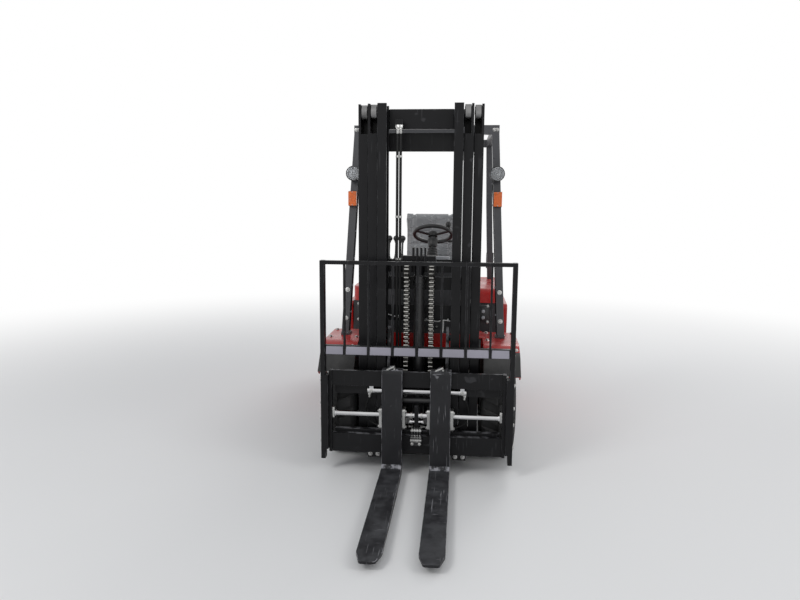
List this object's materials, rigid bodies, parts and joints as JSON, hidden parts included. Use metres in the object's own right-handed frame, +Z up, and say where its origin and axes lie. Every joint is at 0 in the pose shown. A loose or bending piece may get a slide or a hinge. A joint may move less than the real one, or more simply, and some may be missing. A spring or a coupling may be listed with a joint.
{
  "type": "forklift truck",
  "caption": "Counterbalanced forklift truck with a telescopic mast, fork positioner, load backrest, overhead guard, seat on a hinged hood and a steered rear axle.",
  "frame": {"origin": "on the floor at the centre of the truck's footprint, fork tips to counterweight", "axes": "+Z up, forks towards -Y, +X to the operator's left"},
  "size_m": [1.25, 3.76, 2.1999],
  "materials": {
    "body_red": "gloss",
    "frame_grey": "satin",
    "counterweight_paint": "gloss",
    "guard_grey": "satin",
    "mast_black": "satin",
    "fork_steel": "scuffed",
    "axle_black": "matt",
    "cylinder_black": "satin",
    "rod_chrome": "polished",
    "chain_steel": "oiled",
    "tyre_black": "matt",
    "rim_paint": "satin",
    "plastic_grey": "grained",
    "plastic_black": "grained",
    "floor_rubber": "matt",
    "seat_cover": "woven",
    "battery_case": "matt",
    "lamp_glass": "clear",
    "lamp_orange": "clear",
    "lamp_red": "clear",
    "hose_black": "smooth"
  },
  "bodies": {
    "chassis": {"frame": "frame_grey", "fenders": "body_red", "floor_plate": "floor_rubber", "front_cowl": "plastic_grey", "steering_column": "plastic_black", "pedals": "plastic_black", "control_levers": "plastic_black", "battery_block": "battery_case", "side_panels": "body_red", "counterweight": "counterweight_paint", "overhead_guard": "guard_grey", "work_lamps": "plastic_black", "signal_lamps": "lamp_orange", "tail_lamps": "lamp_red", "drive_axle": "axle_black", "steer_axle": "axle_black"},
    "hood": {"hood": "body_red", "seat_frame": "plastic_black", "seat_cushion": "seat_cover", "seat_back": "seat_cover"},
    "steering_wheel": {"steering_wheel": "plastic_black"},
    "tilt_barrels": {"tilt_barrels": "cylinder_black"},
    "tilt_rods": {"tilt_rods": "rod_chrome"},
    "outer_mast": {"outer_mast": "mast_black", "lift_barrels": "cylinder_black"},
    "middle_mast": {"middle_mast": "mast_black", "lift_rods": "rod_chrome"},
    "inner_mast": {"inner_mast": "mast_black", "mast_hoses": "hose_black", "free_lift_barrel": "cylinder_black", "chain_rear": "chain_steel"},
    "crosshead": {"crosshead": "mast_black", "chain_front": "chain_steel"},
    "carriage": {"carriage": "mast_black", "shift_cylinder": "cylinder_black"},
    "side_shift": {"positioner_frame": "mast_black", "guide_rods": "rod_chrome", "hose_manifold": "cylinder_black", "positioner_hoses": "hose_black", "load_backrest": "mast_black"},
    "drive_wheel_left": {"drive_tyre_left": "tyre_black", "drive_rim_left": "rim_paint"},
    "knuckle_left": {"knuckle_left": "axle_black"},
    "steer_wheel_left": {"steer_tyre_left": "tyre_black", "steer_rim_left": "rim_paint"},
    "fork_left": {"fork_left": "fork_steel", "fork_clamp_left": "fork_steel"},
    "drive_wheel_right": {"drive_tyre_right": "tyre_black", "drive_rim_right": "rim_paint"},
    "knuckle_right": {"knuckle_right": "axle_black"},
    "steer_wheel_right": {"steer_tyre_right": "tyre_black", "steer_rim_right": "rim_paint"},
    "fork_right": {"fork_right": "fork_steel", "fork_clamp_right": "fork_steel"}
  },
  "joints": [
    {"name": "drive_wheel_left_spin", "type": "hinge", "parent": "chassis", "child": "drive_wheel_left", "pos_m": [0.495, -0.32, 0.353], "axis": [1, 0, 0], "continuous": true},
    {"name": "knuckle_left_steer", "type": "hinge", "parent": "chassis", "child": "knuckle_left", "pos_m": [0.355, 1.38, 0.2875], "axis": [0, 0, 1], "range_deg": [-75, 75]},
    {"name": "steer_wheel_left_spin", "type": "hinge", "parent": "knuckle_left", "child": "steer_wheel_left", "pos_m": [0.49, 1.38, 0.2875], "axis": [1, 0, 0], "continuous": true},
    {"name": "drive_wheel_right_spin", "type": "hinge", "parent": "chassis", "child": "drive_wheel_right", "pos_m": [-0.495, -0.32, 0.353], "axis": [1, 0, 0], "continuous": true},
    {"name": "knuckle_right_steer", "type": "hinge", "parent": "chassis", "child": "knuckle_right", "pos_m": [-0.355, 1.38, 0.2875], "axis": [0, 0, 1], "range_deg": [-75, 75]},
    {"name": "steer_wheel_right_spin", "type": "hinge", "parent": "knuckle_right", "child": "steer_wheel_right", "pos_m": [-0.49, 1.38, 0.2875], "axis": [1, 0, 0], "continuous": true},
    {"name": "steering_wheel_turn", "type": "hinge", "parent": "chassis", "child": "steering_wheel", "pos_m": [0.042, 0.27, 1.406], "axis": [0, 0.4695, 0.8829], "continuous": true},
    {"name": "hood_open", "type": "hinge", "parent": "chassis", "child": "hood", "pos_m": [0, 1.05, 0.985], "axis": [-1, 0, 0], "range_deg": [0, 50]},
    {"name": "mast_tilt", "type": "hinge", "parent": "chassis", "child": "outer_mast", "pos_m": [0, -0.32, 0.353], "axis": [-1, 0, 0], "range_deg": [-6, 8]},
    {"name": "tilt_barrel_swing", "type": "hinge", "parent": "chassis", "child": "tilt_barrels", "pos_m": [0, 0.15, 0.44], "axis": [-1, 0, 0], "range_deg": [-3, 3]},
    {"name": "tilt_rod_stroke", "type": "slide", "parent": "tilt_barrels", "child": "tilt_rods", "axis": [0, -0.9829, 0.1843], "range_m": [-0.03, 0.03]},
    {"name": "mast_lift", "type": "slide", "parent": "outer_mast", "child": "middle_mast", "axis": [0, 0, 1], "range_m": [0, 1.6]},
    {"name": "inner_lift", "type": "slide", "parent": "middle_mast", "child": "inner_mast", "axis": [0, 0, 1], "range_m": [0, 1.6]},
    {"name": "carriage_lift", "type": "slide", "parent": "inner_mast", "child": "carriage", "axis": [0, 0, 1], "range_m": [0, 1.28], "deforming": ["chain_front"]},
    {"name": "crosshead_lift", "type": "slide", "parent": "inner_mast", "child": "crosshead", "axis": [0, 0, 1], "range_m": [0, 0.64], "deforming": ["chain_rear"]},
    {"name": "side_shift_travel", "type": "slide", "parent": "carriage", "child": "side_shift", "axis": [1, 0, 0], "range_m": [-0.1, 0.1]},
    {"name": "fork_left_spread", "type": "slide", "parent": "side_shift", "child": "fork_left", "axis": [1, 0, 0], "range_m": [-0.02, 0.26]},
    {"name": "fork_right_spread", "type": "slide", "parent": "side_shift", "child": "fork_right", "axis": [-1, 0, 0], "range_m": [-0.02, 0.26]}
  ],
  "couplings": [
    {"joint": "knuckle_right_steer", "follows": "knuckle_left_steer", "ratio": 1},
    {"joint": "tilt_barrel_swing", "follows": "mast_tilt", "ratio": 0.21707},
    {"joint": "tilt_rod_stroke", "follows": "mast_tilt", "m_per_rad": -0.17203},
    {"joint": "inner_lift", "follows": "mast_lift", "ratio": 1},
    {"joint": "crosshead_lift", "follows": "carriage_lift", "ratio": 0.5},
    {"joint": "fork_right_spread", "follows": "fork_left_spread", "ratio": 1}
  ]
}
